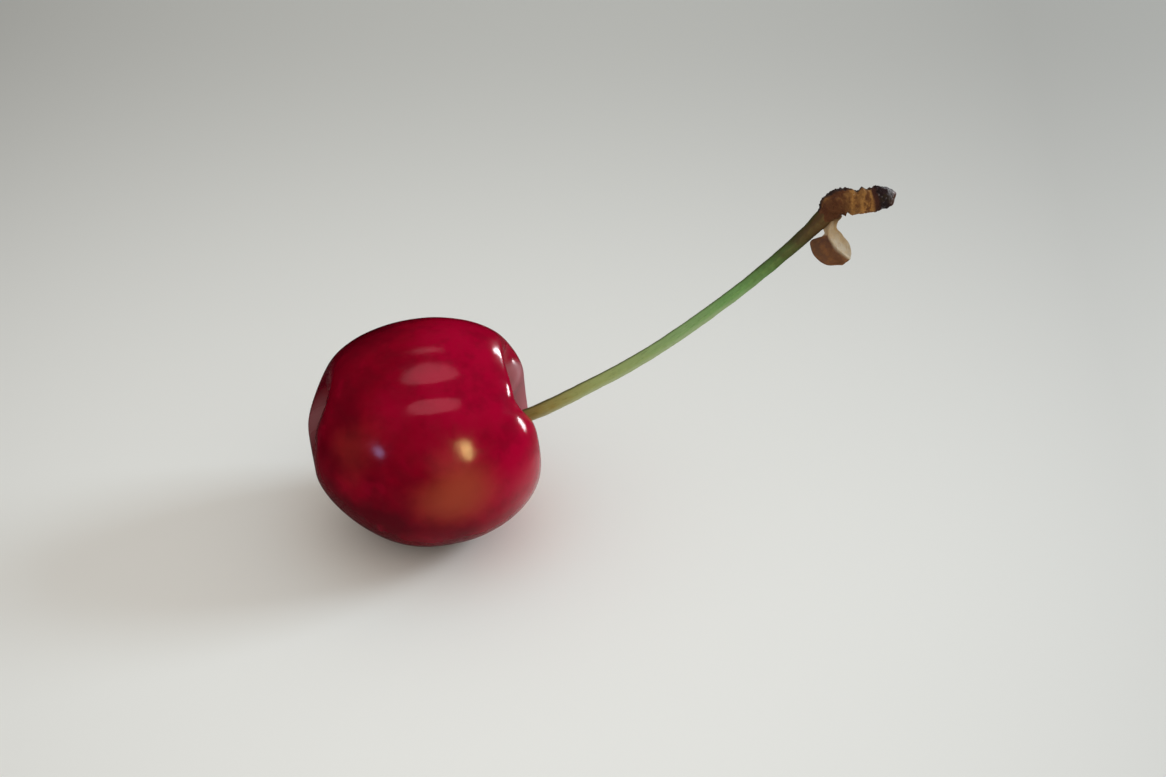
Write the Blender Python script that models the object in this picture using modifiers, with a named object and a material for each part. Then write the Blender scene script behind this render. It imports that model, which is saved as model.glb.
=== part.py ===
"""A sweet cherry as picked, lying on its side: fruit, stem, spur stub and one dried bract.

Run it with  blender --background --python part.py  or from Blender's text editor.
Metres, +Z up. The origin is the middle of the small flat spot that the fruit rests on, and +X
is the way the stem points. The stem, the stub and the bract grow about one slanted plane that
leans back from the vertical, so they are laid out in it: along +X, up the slope (RISE) and out
of the slope to the front (TOWARDS), all measured from one point close to the fruit's middle.
"""

import math

import bmesh
import bpy
from mathutils import Matrix, Vector

MM = 0.001

# How the fruit lies.
LEAN = math.radians(35)  # the slanted plane leans back this far from the vertical
AXIS_TILT = math.radians(7.9)  # the fruit's stem end points this far up the slope
AXIS_YAW = math.radians(-5.1)  # and this far out of it, to the front
SUTURE_ROLL = math.radians(57)  # the suture faces this far above the horizon, to the front
SINK = 0.35 * MM  # the fruit's own weight flattens this much of its underside
MIDDLE_AT = (0.37, 0.49)  # millimetres along and up the slope from its zero to the fruit's middle

# The fruit. Half lengths run from its middle, before the hollows and the suture are pressed in.
STEM_HALF = 13.16 * MM
BLOSSOM_HALF = 13.68 * MM
FRONT_CHEEK = 12.68 * MM
BACK_CHEEK = 11.75 * MM
SUTURE_SIDE = 11.30 * MM
FAR_SIDE = 12.22 * MM
STEM_FULLNESS = 2.19  # exponent of the profile: 2 is an ellipse, more is squarer
BLOSSOM_FULLNESS = 1.99
CHEEK_SLIP = 0.20  # share of its half length that the back cheek is longer, at the blossom end
CAVITY_DEPTH = 6.0 * MM
CAVITY_WIDTH = 3.7 * MM
DIMPLE_DEPTH = 1.8 * MM
DIMPLE_WIDTH = 2.8 * MM
GROOVE_DEPTH = 0.32 * MM
GROOVE_WIDTH = 0.95 * MM
GROOVE_AT = 1.2 * MM  # the suture lies this far towards the front cheek
# Each rim dips on the suture's side: how deep, how far from the stem end, and where around.
STEM_DIP = (5.0 * MM, math.radians(28.8), math.radians(8.2), math.radians(-26), math.radians(21))
TAIL_DIP = (2.8 * MM, math.radians(159), math.radians(15), math.radians(-52), math.radians(27))

CAGE_SECTORS = 40
CAGE_RINGS = 24
SECTOR_CROWDING = 0.35  # the cage is finer along the suture
RING_CROWDING = 0.15  # and finer around the two hollows
CUTTER_SIDE = 40 * MM

# The stem's middle line: along, up the slope, towards the front, and its radius.
STEM_BEVEL_STEPS = 4
STEM_POINTS = (
    (8.5, 1.2, -0.75, 0.62),
    (9.6, 1.4, -0.6, 0.72),
    (12.7, 2.6, -0.2, 0.74),
    (16.9, 4.7, 0.0, 0.72),
    (21.1, 6.9, 0.0, 0.70),
    (25.3, 9.45, 0.0, 0.68),
    (29.6, 12.42, 0.0, 0.67),
    (33.9, 15.6, 0.0, 0.66),
    (38.2, 19.15, 0.0, 0.70),
    (40.9, 21.55, 0.0, 0.80),
    (42.1, 22.65, 0.0, 0.95),
)
# The stub's middle line, from the stem's end through its elbow to the broken tip.
STUB_BEVEL_STEPS = 5
STUB_POINTS = (
    (42.45, 22.97, 0.0, 0.98),
    (43.0, 23.6, 0.0, 1.16),
    (43.8, 24.3, 0.0, 1.36),
    (44.7, 24.55, 0.0, 1.24),
    (45.5, 24.56, 0.0, 1.30),
    (46.2, 24.6, 0.0, 1.22),
    (46.9, 24.67, 0.0, 1.28),
    (47.6, 24.8, 0.0, 1.14),
    (48.3, 24.95, 0.0, 1.24),
    (48.9, 25.0, 0.0, 1.16),
    (49.4, 24.85, 0.0, 0.95),
    (49.8, 24.75, 0.0, 0.55),
)
# The bract, row by row downwards: a point of its front edge, of its keel and of its back edge.
BRACT_THICKNESS = 0.28 * MM
BRACT_CUPPING = 0.18  # how far each blade hangs back in its middle, as a share of its width
BRACT_ROWS = (
    ((42.8, 21.4, 0.35), (43.1, 21.8, 0.5), (43.8, 21.9, 0.1)),
    ((42.5, 21.0, 0.6), (42.9, 21.3, 0.8), (43.9, 21.5, -0.1)),
    ((41.9, 20.75, 0.8), (42.85, 20.8, 1.05), (44.25, 21.05, -0.2)),
    ((41.0, 20.25, 0.8), (43.0, 20.2, 1.25), (44.7, 20.5, -0.3)),
    ((41.05, 19.3, 0.5), (43.4, 19.6, 1.4), (45.05, 19.9, -0.3)),
    ((41.6, 18.4, 0.3), (43.9, 19.1, 1.4), (45.2, 19.3, -0.2)),
    ((42.75, 17.8, 0.3), (44.4, 18.7, 1.25), (45.15, 18.8, 0.2)),
    ((44.2, 17.85, 0.7), (44.85, 18.4, 1.0), (45.0, 18.4, 0.7)),
)

RISE = Vector((0, math.sin(LEAN), math.cos(LEAN)))
TOWARDS = Vector((0, -math.cos(LEAN), math.sin(LEAN)))

# Colour, roughness.
SKIN = ((0.30, 0.004, 0.022), 0.12)
GREEN_STALK = ((0.20, 0.29, 0.09), 0.45)
BROWN_BARK = ((0.21, 0.085, 0.025), 0.80)
DRY_TAN = ((0.42, 0.26, 0.12), 0.85)


def bump(value, middle, width):
    """A smooth hump of height 1 around middle."""
    return math.exp(-0.5 * ((value - middle) / width) ** 2)


def blend(low, high, share):
    return low + (high - low) * share


def dip(polar, around, shape):
    """How far a rim is pressed in at this place."""
    depth, ring, ring_width, sector, sector_width = shape
    aside = math.remainder(around - sector, 2 * math.pi)
    return depth * bump(polar, ring, ring_width) * bump(aside, 0, sector_width)


def fruit_point(polar, around):
    """A point of the skin in the fruit's own axes: +Z to the stem, +X to the suture.

    polar is the angle from the stem end, around the angle from the suture to the front cheek."""
    sine, cosine = math.sin(polar), math.cos(polar)
    fullness = blend(BLOSSOM_FULLNESS, STEM_FULLNESS, 0.5 + 0.5 * cosine)
    reach = (abs(sine) ** fullness + abs(cosine) ** fullness) ** (-1 / fullness)
    front = 0.5 + 0.5 * math.cos(around)
    cheek = 0.5 + 0.5 * math.sin(around)
    slip = CHEEK_SLIP * sine ** 2 * math.sin(around) * min(cosine, 0)
    point = Vector((
        reach * sine * math.cos(around) * blend(FAR_SIDE, SUTURE_SIDE, front),
        reach * sine * math.sin(around) * blend(BACK_CHEEK, FRONT_CHEEK, cheek),
        reach * cosine * blend(BLOSSOM_HALF, STEM_HALF, 0.5 + 0.5 * cosine) * (1 + slip),
    ))
    pressed = GROOVE_DEPTH * front ** 2 * bump(point.y, GROOVE_AT, GROOVE_WIDTH)
    pressed += dip(polar, around, STEM_DIP) + dip(polar, around, TAIL_DIP)
    point *= 1 - pressed / point.length
    from_axis = math.hypot(point.x, point.y)
    if cosine > 0:
        point.z -= CAVITY_DEPTH / (1 + (from_axis / CAVITY_WIDTH) ** 2) ** 1.5
    else:
        point.z += DIMPLE_DEPTH / (1 + (from_axis / DIMPLE_WIDTH) ** 2) ** 1.5
    return point


def fruit_turn():
    """The rotation from the fruit's own axes to the way it lies."""
    stemward = Vector((math.cos(AXIS_TILT), 0, 0)) + RISE * math.sin(AXIS_TILT)
    stemward = (stemward + TOWARDS * math.tan(AXIS_YAW)).normalized()
    up_front = Vector((0, -math.cos(SUTURE_ROLL), math.sin(SUTURE_ROLL)))
    cheekward = stemward.cross(up_front).normalized()
    return Matrix((cheekward.cross(stemward), cheekward, stemward)).transposed()


def clear_scene():
    for old in list(bpy.data.objects):
        bpy.data.objects.remove(old, do_unlink=True)


def new_collection(name):
    collection = bpy.data.collections.new(name)
    bpy.context.scene.collection.children.link(collection)
    return collection


def new_material(name, look):
    """A plain material from a colour and a roughness."""
    colour, roughness = look
    material = bpy.data.materials.new(name)
    material.use_nodes = True
    shader = material.node_tree.nodes["Principled BSDF"]
    shader.inputs["Base Color"].default_value = (*colour, 1)
    shader.inputs["Roughness"].default_value = roughness
    shader.inputs["Metallic"].default_value = 0
    return material


def new_object(name, data, collection, material):
    made = bpy.data.objects.new(name, data)
    made.data.materials.append(material)
    collection.objects.link(made)
    return made


def smooth(mesh):
    mesh.polygons.foreach_set("use_smooth", [True] * len(mesh.polygons))


def subdivide(target, levels):
    """Rounds off a coarse cage."""
    rounding = target.modifiers.new("rounding", "SUBSURF")
    rounding.levels = levels
    rounding.render_levels = levels


def solid_copy(target):
    """The mesh that an object's modifiers make of it."""
    bpy.context.view_layer.update()
    graph = bpy.context.evaluated_depsgraph_get()
    return bpy.data.meshes.new_from_object(target.evaluated_get(graph))


def fruit_cage():
    """A UV sphere whose points are moved onto the fruit, crowded where the shape is finest."""
    cage = bmesh.new()
    bmesh.ops.create_uvsphere(cage, u_segments=CAGE_SECTORS, v_segments=CAGE_RINGS, radius=1)
    turn = fruit_turn()
    for vert in cage.verts:
        polar = math.acos(max(-1.0, min(1.0, vert.co.z)))
        around = math.atan2(vert.co.y, vert.co.x)
        polar -= RING_CROWDING * math.sin(2 * polar)
        around -= SECTOR_CROWDING * math.sin(around)
        vert.co = turn @ fruit_point(polar, around)
    mesh = bpy.data.meshes.new("fruit")
    cage.to_mesh(mesh)
    cage.free()
    smooth(mesh)
    return mesh


def make_fruit(parts, helpers):
    """The skin and flesh in one, settled on its flat spot. Returns the slanted plane's zero."""
    fruit = new_object("fruit", fruit_cage(), parts, new_material("cherry skin", SKIN))
    subdivide(fruit, 1)
    rounded = solid_copy(fruit)
    fruit.modifiers.clear()
    fruit.data = rounded
    lowest = min((vert.co for vert in rounded.vertices), key=lambda place: place.z)
    middle = Vector((-lowest.x, -lowest.y, -lowest.z - SINK))
    rounded.transform(Matrix.Translation(middle))
    flat = fruit.modifiers.new("flat spot", "BOOLEAN")
    flat.operation = "DIFFERENCE"
    flat.solver = "EXACT"
    flat.object = make_table_cutter(helpers)
    along, rise = MIDDLE_AT
    return slope_place(middle, -along, -rise, 0)


def make_table_cutter(helpers):
    """A block with its top at the ground, which takes the pressed-in spot off the fruit."""
    block = bmesh.new()
    bmesh.ops.create_cube(block, size=CUTTER_SIDE)
    bmesh.ops.translate(block, verts=block.verts, vec=(0, 0, -CUTTER_SIDE / 2))
    mesh = bpy.data.meshes.new("table_cutter")
    block.to_mesh(mesh)
    block.free()
    cutter = bpy.data.objects.new("table_cutter", mesh)
    cutter.hide_render = True
    cutter.display_type = "WIRE"
    helpers.objects.link(cutter)
    return cutter


def slope_place(zero, along, rise, towards):
    """The world place of a point given in millimetres on the slanted plane."""
    return zero + (Vector((along, 0, 0)) + RISE * rise + TOWARDS * towards) * MM


def make_rod(name, zero, points, bevel_steps, parts, material):
    """A round rod along a smooth line, with its own radius at each point."""
    curve = bpy.data.curves.new(name, "CURVE")
    curve.dimensions = "3D"
    curve.bevel_depth = MM
    curve.bevel_resolution = bevel_steps
    curve.resolution_u = 5
    curve.use_fill_caps = True
    line = curve.splines.new("BEZIER")
    line.bezier_points.add(len(points) - 1)
    line.use_smooth = True
    for knot, (along, rise, towards, radius) in zip(line.bezier_points, points):
        knot.co = slope_place(zero, along, rise, towards)
        knot.handle_left_type = "AUTO"
        knot.handle_right_type = "AUTO"
        knot.radius = radius
    return new_object(name, curve, parts, material)


def blade_middle(edge, keel):
    """The point halfway from the keel to an edge, cupped back from the front."""
    middle = (Vector(edge) + Vector(keel)) / 2
    width = (Vector(edge) - Vector(keel)).length
    return middle - Vector((0, 0, BRACT_CUPPING * width))


def bract_cage(zero):
    """A sheet of two cupped blades, folded along the keel."""
    sheet = bmesh.new()
    rows = []
    for front, keel, back in BRACT_ROWS:
        places = (front, blade_middle(front, keel), keel, blade_middle(back, keel), back)
        rows.append([sheet.verts.new(slope_place(zero, *place)) for place in places])
    for above, below in zip(rows, rows[1:]):
        for place in range(len(above) - 1):
            sheet.faces.new((above[place], above[place + 1], below[place + 1], below[place]))
    mesh = bpy.data.meshes.new("dry_bract")
    sheet.to_mesh(mesh)
    sheet.free()
    smooth(mesh)
    return mesh


def make_bract(zero, parts):
    bract = new_object(
        "dry_bract", bract_cage(zero), parts, new_material("dry scale", DRY_TAN)
    )
    wall = bract.modifiers.new("wall", "SOLIDIFY")
    wall.thickness = BRACT_THICKNESS
    wall.offset = 0
    subdivide(bract, 2)


def main():
    clear_scene()
    parts = new_collection("cherry")
    helpers = new_collection("cutters")
    zero = make_fruit(parts, helpers)
    stalk = new_material("green stalk", GREEN_STALK)
    bark = new_material("brown bark", BROWN_BARK)
    make_rod("stem", zero, STEM_POINTS, STEM_BEVEL_STEPS, parts, stalk)
    make_rod("spur_stub", zero, STUB_POINTS, STUB_BEVEL_STEPS, parts, bark)
    make_bract(zero, parts)


main()
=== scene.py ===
"""A ripe sweet cherry lying on its side: fruit, stalk, broken spur stub and one dried bract.

Every piece is laid out from the fruit's middle, in a slanted plane that leans back from the
vertical. The plane's middle and its scale come from the fixed frame's fruit. Sizes are in
millimetres, and a share runs from 0 to 1.
"""

from __future__ import annotations

import logging
import math
from dataclasses import dataclass, replace
from enum import Enum
from typing import Sequence

import bpy
import numpy as np
from mathutils import Matrix, Vector, noise


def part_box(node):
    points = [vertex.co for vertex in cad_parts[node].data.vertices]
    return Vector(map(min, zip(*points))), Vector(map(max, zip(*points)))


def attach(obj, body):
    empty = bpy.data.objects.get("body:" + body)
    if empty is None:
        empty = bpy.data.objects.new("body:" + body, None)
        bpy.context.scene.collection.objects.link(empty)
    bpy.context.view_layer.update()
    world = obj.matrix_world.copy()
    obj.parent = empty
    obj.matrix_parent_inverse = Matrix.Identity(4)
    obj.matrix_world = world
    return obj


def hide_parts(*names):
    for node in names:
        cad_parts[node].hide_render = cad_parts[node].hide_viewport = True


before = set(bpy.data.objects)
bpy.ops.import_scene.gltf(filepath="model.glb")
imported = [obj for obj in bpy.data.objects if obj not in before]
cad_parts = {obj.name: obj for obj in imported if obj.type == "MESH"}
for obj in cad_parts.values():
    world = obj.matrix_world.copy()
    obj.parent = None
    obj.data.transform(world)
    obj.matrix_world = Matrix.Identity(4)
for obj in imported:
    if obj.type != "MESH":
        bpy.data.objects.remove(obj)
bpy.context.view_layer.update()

LOG = logging.getLogger("cherry")
MM = 0.001
STEEP = 60  # a lamp higher than this many degrees is squared up by the table's depth
BLACK = (0.0, 0.0, 0.0)
Socket = bpy.types.NodeSocket
Place = tuple[float, float, float]
Colour = tuple[float, float, float]
Stops = Sequence[tuple[float, Colour]]
Line = tuple[tuple[float, float, float, float], ...]  # places, each with its radius
Weave = tuple[float, float, float]  # a cloud's scale, its detail and its roughness
Span = tuple[float, float, float, float]  # from a start to an end, the value from low to high


class End(Enum):
    """The two ends of the fruit."""

    STEM = 1
    BLOSSOM = -1


class Slot(Enum):
    """The pieces' material slots."""

    SKIN = "skin"
    STALK = "green_stalk"
    BARK = "bark"
    SCALE = "dry_scale"


class Side(Enum):
    """The two blades of the bract, beside its keel."""

    FRONT = -1
    BACK = 1


class Task(Enum):
    """What a lamp is there for."""

    LIGHT = "light"
    GLINT = "glint"


class Outline(Enum):
    """A lamp's outline."""

    OBLONG = "RECTANGLE"
    OVAL = "ELLIPSE"


def bump(value: np.ndarray, middle: float, width: float) -> np.ndarray:
    """A smooth hump.

    Args:
        value: Where to read it.
        middle: Where it is 1.
        width: Its standard deviation.

    Returns:
        The hump's height at each value.
    """
    return np.exp(-0.5 * ((value - middle) / width) ** 2)


def blend(low: float, high: float, share: np.ndarray) -> np.ndarray:
    """Goes from low to high as share goes from 0 to 1."""
    return low + (high - low) * share


def grain(points: np.ndarray, size: float, shift: float) -> np.ndarray:
    """Smooth noise of one wavelength.

    Args:
        points: The places, as rows.
        size: The distance over which it changes.
        shift: Moves the pattern, so that two uses differ.

    Returns:
        A value from -1 to 1 for each place.
    """
    flat = points.reshape(-1, 3) / size + shift
    values = np.array([noise.noise(Vector(place)) for place in flat.tolist()])
    return values.reshape(points.shape[:-1])


@dataclass(frozen=True)
class Ripple:
    """Smooth unevenness: its height, the distance over which it changes, and its shift."""

    height: float
    size: float
    shift: float

    def over(self, points: np.ndarray) -> np.ndarray:
        """How high it stands at each place."""
        return self.height * grain(points, self.size, self.shift)


def smooth_path(points: Sequence[Sequence[float]], count: int) -> np.ndarray:
    """Rounds a line of points, with whatever each point carries beside its place.

    Args:
        points: The rows to pass through.
        count: How many rows to return.

    Returns:
        Rows along a Catmull-Rom curve through the points.
    """
    rows = np.array(points, float)
    padded = np.vstack([2 * rows[0] - rows[1], rows, 2 * rows[-1] - rows[-2]])
    steps = np.linspace(0, len(rows) - 1, count)
    index = np.minimum(steps.astype(int), len(rows) - 2)
    share = (steps - index)[:, None]
    before, start, end, after = (padded[index + i] for i in range(4))
    return 0.5 * (
        2 * start
        + (end - before) * share
        + (2 * before - 5 * start + 4 * end - after) * share**2
        + (3 * start - before - 3 * end + after) * share**3
    )


@dataclass(frozen=True)
class Slope:
    """The slanted plane that the stalk, the stub and the bract grow about."""

    middle: Vector
    lean: float
    scale: float = 1.0

    @property
    def rise(self) -> Vector:
        """Up the slope."""
        return Vector((0, math.sin(self.lean), math.cos(self.lean)))

    @property
    def towards(self) -> Vector:
        """Out of the slope, to the front."""
        return Vector((0, -math.cos(self.lean), math.sin(self.lean)))

    def place(self, rows: np.ndarray) -> np.ndarray:
        """World places of rows of millimetres along, up the slope and towards the front."""
        axes = np.array([(1, 0, 0), self.rise, self.towards])
        return np.array(self.middle) + rows @ axes * (MM * self.scale)


@dataclass(frozen=True)
class RimDip:
    """Where the rim around one hollow is pressed in, on the suture's side, in degrees."""

    depth: float
    ring: float
    ring_width: float
    sector: float
    sector_width: float

    def depth_at(self, polar: np.ndarray, around: np.ndarray) -> np.ndarray:
        """How far the skin is pressed in.

        Args:
            polar: Angles from the stem end.
            around: Angles from the suture to the front cheek.

        Returns:
            The depth at each pair of angles, in millimetres.
        """
        aside = np.remainder(around - math.radians(self.sector) + math.pi, 2 * math.pi) - math.pi
        return (
            self.depth
            * bump(polar, math.radians(self.ring), math.radians(self.ring_width))
            * bump(aside, 0, math.radians(self.sector_width))
        )


@dataclass(frozen=True)
class Hollow:
    """The stem cavity, or the dimple at the blossom end."""

    end: End
    depth: float
    width: float

    def press(self, shape: np.ndarray) -> np.ndarray:
        """How far the skin is pressed along the axis, towards the middle."""
        from_axis = np.hypot(shape[..., 0], shape[..., 1])
        return -self.end.value * self.depth / (1 + (from_axis / self.width) ** 2) ** 1.5


@dataclass(frozen=True)
class FruitForm:
    """The fruit's shape in its own axes, in millimetres: +Z to the stem, +X to the suture."""

    stem_half: float = 13.16
    blossom_half: float = 13.68
    front_cheek: float = 12.68
    back_cheek: float = 11.75
    suture_side: float = 11.3
    far_side: float = 12.22
    stem_fullness: float = 2.19
    blossom_fullness: float = 1.99
    cheek_slip: float = 0.2
    groove_depth: float = 0.32
    groove_width: float = 0.95
    groove_at: float = 1.2
    cavity: Hollow = Hollow(End.STEM, 6.0, 3.7)
    dimple: Hollow = Hollow(End.BLOSSOM, 1.8, 2.8)
    dips: tuple[RimDip, ...] = (
        RimDip(5.0, 28.8, 8.2, -26, 21),
        RimDip(2.8, 159, 15, -52, 27),
    )

    def shape(self, polar: np.ndarray, around: np.ndarray) -> np.ndarray:
        """The skin's places.

        Args:
            polar: Angles from the stem end.
            around: Angles from the suture to the front cheek.

        Returns:
            Places in the fruit's own axes, in millimetres.
        """
        sine, cosine = np.sin(polar), np.cos(polar)
        fullness = blend(self.blossom_fullness, self.stem_fullness, 0.5 + 0.5 * cosine)
        reach = (np.abs(sine) ** fullness + np.abs(cosine) ** fullness) ** (-1 / fullness)
        front = 0.5 + 0.5 * np.cos(around)
        cheek = 0.5 + 0.5 * np.sin(around)
        slip = self.cheek_slip * sine**2 * np.sin(around) * np.minimum(cosine, 0)
        half = blend(self.blossom_half, self.stem_half, 0.5 + 0.5 * cosine)
        skin = np.stack(
            [
                reach * sine * np.cos(around) * blend(self.far_side, self.suture_side, front),
                reach * sine * np.sin(around) * blend(self.back_cheek, self.front_cheek, cheek),
                reach * cosine * half * (1 + slip),
            ],
            -1,
        )
        groove = bump(skin[..., 1], self.groove_at, self.groove_width)
        pressed = self.groove_depth * front**2 * groove
        pressed = pressed + sum(dip.depth_at(polar, around) for dip in self.dips)
        skin = skin * (1 - pressed / np.linalg.norm(skin, axis=-1))[..., None]
        stemward = self.cavity.press(skin)
        blossomward = self.dimple.press(skin)
        skin[..., 2] += np.where(cosine > 0, stemward, blossomward)
        return skin


@dataclass(frozen=True)
class ShaderDesk:
    """One material's nodes, with short ways to add and wire them."""

    material: bpy.types.Material

    @classmethod
    def named(cls, name: str) -> ShaderDesk:
        """Starts a material.

        Args:
            name: The material's name.

        Returns:
            Its desk, with the shader ready.
        """
        material = bpy.data.materials.new(name)
        material.use_nodes = True
        return cls(material)

    @property
    def shader(self) -> bpy.types.Node:
        """The surface shader."""
        return self.material.node_tree.nodes["Principled BSDF"]

    def fix(self, **values: float) -> None:
        """Sets the shader's own sockets; an underscore in a name stands for a space."""
        for name, value in values.items():
            self.shader.inputs[name.replace("_", " ")].default_value = value

    def add(self, kind: str, *feeds: object, **settings: object) -> bpy.types.Node:
        """Adds a node.

        Args:
            kind: The node's type, without its ShaderNode prefix.
            feeds: What goes into its inputs in order: a socket, a value, or None to leave one.
            settings: The node's own properties.

        Returns:
            The node.
        """
        made = self.material.node_tree.nodes.new("ShaderNode" + kind)
        for name, value in settings.items():
            setattr(made, name, value)
        for socket, feed in zip(made.inputs, feeds):
            self.feed(socket, feed)
        return made

    def feed(self, socket: Socket, value: object) -> None:
        """Wires a socket, or sets its value.

        Args:
            socket: The socket to fill.
            value: Another node's output, a value to set, or None to leave the socket alone.
        """
        if isinstance(value, Socket):
            self.material.node_tree.links.new(value, socket)
        elif value is not None:
            socket.default_value = value

    def place(self, stretch: Place = (1, 1, 1)) -> Socket:
        """The piece's own coordinates.

        Args:
            stretch: How much faster they run along each axis.

        Returns:
            The coordinates in millimetres.
        """
        mapping = self.add("Mapping", self.add("TexCoord").outputs["Object"])
        mapping.inputs["Scale"].default_value = tuple(share / MM for share in stretch)
        return mapping.outputs[0]

    def reading(self, name: str) -> Socket:
        """A number stored on the mesh."""
        return self.add("Attribute", attribute_name=name).outputs["Fac"]

    def cloud(self, where: Socket, weave: Weave) -> Socket:
        """Soft noise.

        Args:
            where: The coordinates to read it at.
            weave: How many of its waves fit in a millimetre, how many finer waves are added,
                and how strong those are.

        Returns:
            A value from 0 to 1.
        """
        made = self.add("TexNoise")
        for name, value in zip(("Vector", "Scale", "Detail", "Roughness"), (where, *weave)):
            self.feed(made.inputs[name], value)
        return made.outputs["Fac"]

    def cells(self, where: Socket, scale: float) -> Socket:
        """Scattered points.

        Args:
            where: The coordinates to read them at.
            scale: How many points there are along a millimetre.

        Returns:
            The distance to the nearest point.
        """
        made = self.add("TexVoronoi")
        self.feed(made.inputs["Vector"], where)
        self.feed(made.inputs["Scale"], scale)
        return made.outputs["Distance"]

    def ramp(self, value: Socket, stops: Stops) -> Socket:
        """Colours along a scale.

        Args:
            value: Where on the scale to look.
            stops: The scale's places and their colours.

        Returns:
            The colour there.
        """
        made = self.add("ValToRGB", value)
        band = made.color_ramp
        while len(band.elements) < len(stops):
            band.elements.new(0.5)
        for element, (place, colour) in zip(band.elements, stops):
            element.position = place
            element.color = (*colour, 1)
        return made.outputs["Color"]

    def grade(self, value: Socket, span: Span) -> Socket:
        """Eases one range of a value into another.

        Args:
            value: What to read.
            span: Where it starts and ends, and what to give for those: the low and the high.

        Returns:
            A value that is held beyond both ends.
        """
        made = self.add("MapRange", value, *span)
        made.interpolation_type = "SMOOTHSTEP"
        return made.outputs["Result"]

    def plus(self, first: object, second: object) -> Socket:
        """Adds two values."""
        return self.add("Math", first, second, operation="ADD").outputs[0]

    def less(self, first: object, second: object) -> Socket:
        """Takes the second value from the first."""
        return self.add("Math", first, second, operation="SUBTRACT").outputs[0]

    def times(self, first: object, second: object) -> Socket:
        """Multiplies two values."""
        return self.add("Math", first, second, operation="MULTIPLY").outputs[0]

    def power(self, first: object, second: object) -> Socket:
        """Raises the first value to the power of the second."""
        return self.add("Math", first, second, operation="POWER").outputs[0]

    def least(self, first: object, second: object) -> Socket:
        """The smaller of two values."""
        return self.add("Math", first, second, operation="MINIMUM").outputs[0]

    def most(self, first: object, second: object) -> Socket:
        """The larger of two values."""
        return self.add("Math", first, second, operation="MAXIMUM").outputs[0]

    def sway(self, cloud: Socket, reach: float) -> Socket:
        """A cloud turned into a shift either way, to make an edge wander."""
        return self.times(self.less(cloud, 0.5), reach)

    def mix(self, share: object, low: object, high: object) -> Socket:
        """Mixes two colours.

        Args:
            share: How much of the second to take, from 0 to 1.
            low: The first colour.
            high: The second colour.

        Returns:
            The mixed colour.
        """
        made = self.add("Mix", data_type="RGBA", blend_type="MIX")
        for name, value in (("Factor_Float", share), ("A_Color", low), ("B_Color", high)):
            socket = next(s for s in made.inputs if s.identifier == name)
            whole = (*value, 1) if isinstance(value, tuple) else value
            self.feed(socket, whole)
        return next(s for s in made.outputs if s.identifier == "Result_Color")

    def coat(self, under: object, over: object, value: Socket, span: Span) -> Socket:
        """Lays one colour over another, to the share that a value's span gives."""
        return self.mix(self.grade(value, span), under, over)

    def dress(self, colour: Socket, rough: Socket) -> None:
        """Gives the surface its colour and its roughness."""
        self.feed(self.shader.inputs["Base Color"], colour)
        self.feed(self.shader.inputs["Roughness"], rough)

    def emboss(self, *layers: tuple[Socket, float]) -> None:
        """Bumps the surface finely.

        Args:
            layers: Heights from 0 to 1, each with how many millimetres a 1 stands for.
        """
        normal = None
        for height, size in layers:
            made = self.add("Bump")
            self.feed(made.inputs["Distance"], size * MM)
            self.feed(made.inputs["Height"], height)
            self.feed(made.inputs["Normal"], normal)
            normal = made.outputs["Normal"]
        self.feed(self.shader.inputs["Normal"], normal)


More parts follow.
